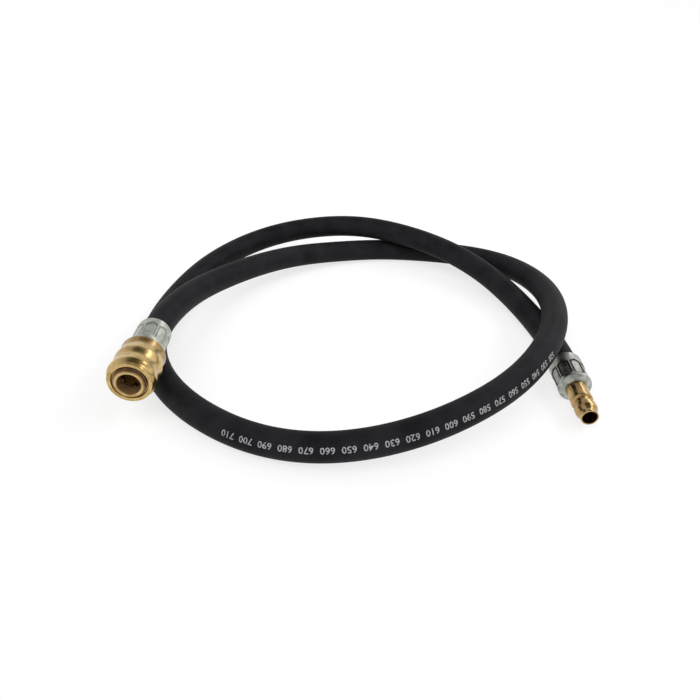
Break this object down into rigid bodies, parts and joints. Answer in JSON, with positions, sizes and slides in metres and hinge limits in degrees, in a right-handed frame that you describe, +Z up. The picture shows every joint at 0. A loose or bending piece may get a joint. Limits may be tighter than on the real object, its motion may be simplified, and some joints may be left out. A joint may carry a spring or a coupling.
{
  "type": "quick-connect gas hose",
  "caption": "Thick rubber gas hose with a quick-connect socket crimped on one end and its mating plug on the other, lying loosely looped.",
  "frame": {"origin": "on the floor, under the middle of the box round the two end fittings", "axes": "+Z up; both fittings' axes lie along Y with the socket's mouth and the plug's tip towards -Y; the socket is at -X and the plug at +X"},
  "size_m": [0.2725, 0.272, 0.041],
  "materials": {
    "hose_rubber": "smooth black, slightly glossy",
    "seal_rubber": "matt black",
    "brass": "turned and polished",
    "zinc_plated_steel": "bright zinc",
    "steel": "bright"
  },
  "bodies": {
    "hose_assembly": {"hose": "hose_rubber", "socket_ferrule": "zinc_plated_steel", "plug_ferrule": "zinc_plated_steel", "socket_body": "brass", "socket_tail": "brass", "snap_ring": "steel", "probe_seal": "seal_rubber", "body_gasket": "seal_rubber", "plug_nipple": "brass", "valve_spring": "steel"},
    "sleeve_carrier": {"spring_washer": "steel", "sleeve_spring": "steel"},
    "sleeve": {"release_sleeve": "brass"},
    "valve": {"valve_poppet": "brass", "valve_seal": "seal_rubber"},
    "ball_1": {"locking_ball_1": "steel"},
    "ball_2": {"locking_ball_2": "steel"},
    "ball_3": {"locking_ball_3": "steel"},
    "ball_4": {"locking_ball_4": "steel"},
    "ball_5": {"locking_ball_5": "steel"},
    "ball_6": {"locking_ball_6": "steel"}
  },
  "joints": [
    {"name": "sleeve_spin", "type": "hinge", "parent": "hose_assembly", "child": "sleeve_carrier", "pos_m": [-0.12, 0, 0.028], "axis": [0, 1, 0], "continuous": true},
    {"name": "sleeve_slide", "type": "slide", "parent": "sleeve_carrier", "child": "sleeve", "axis": [0, 1, 0], "range_m": [0, 0.003], "stiffness_N_per_m": 3000, "springref_m": -0.005, "deforming": ["sleeve_spring"]},
    {"name": "valve_slide", "type": "slide", "parent": "hose_assembly", "child": "valve", "axis": [0, 1, 0], "range_m": [0, 0.0024], "stiffness_N_per_m": 800, "springref_m": -0.004, "deforming": ["valve_spring"]},
    {"name": "ball_slide_1", "type": "slide", "parent": "hose_assembly", "child": "ball_1", "axis": [0.866, 0, -0.5], "range_m": [0, 0.00071]},
    {"name": "ball_slide_2", "type": "slide", "parent": "hose_assembly", "child": "ball_2", "axis": [0, 0, -1], "range_m": [0, 0.00071]},
    {"name": "ball_slide_3", "type": "slide", "parent": "hose_assembly", "child": "ball_3", "axis": [-0.866, 0, -0.5], "range_m": [0, 0.00071]},
    {"name": "ball_slide_4", "type": "slide", "parent": "hose_assembly", "child": "ball_4", "axis": [-0.866, 0, 0.5], "range_m": [0, 0.00071]},
    {"name": "ball_slide_5", "type": "slide", "parent": "hose_assembly", "child": "ball_5", "axis": [0, 0, 1], "range_m": [0, 0.00071]},
    {"name": "ball_slide_6", "type": "slide", "parent": "hose_assembly", "child": "ball_6", "axis": [0.866, 0, 0.5], "range_m": [0, 0.00071]}
  ],
  "couplings": [
    {"joint": "ball_slide_1", "follows": "sleeve_slide", "ratio": 0.23333},
    {"joint": "ball_slide_2", "follows": "sleeve_slide", "ratio": 0.23333},
    {"joint": "ball_slide_3", "follows": "sleeve_slide", "ratio": 0.23333},
    {"joint": "ball_slide_4", "follows": "sleeve_slide", "ratio": 0.23333},
    {"joint": "ball_slide_5", "follows": "sleeve_slide", "ratio": 0.23333},
    {"joint": "ball_slide_6", "follows": "sleeve_slide", "ratio": 0.23333}
  ]
}
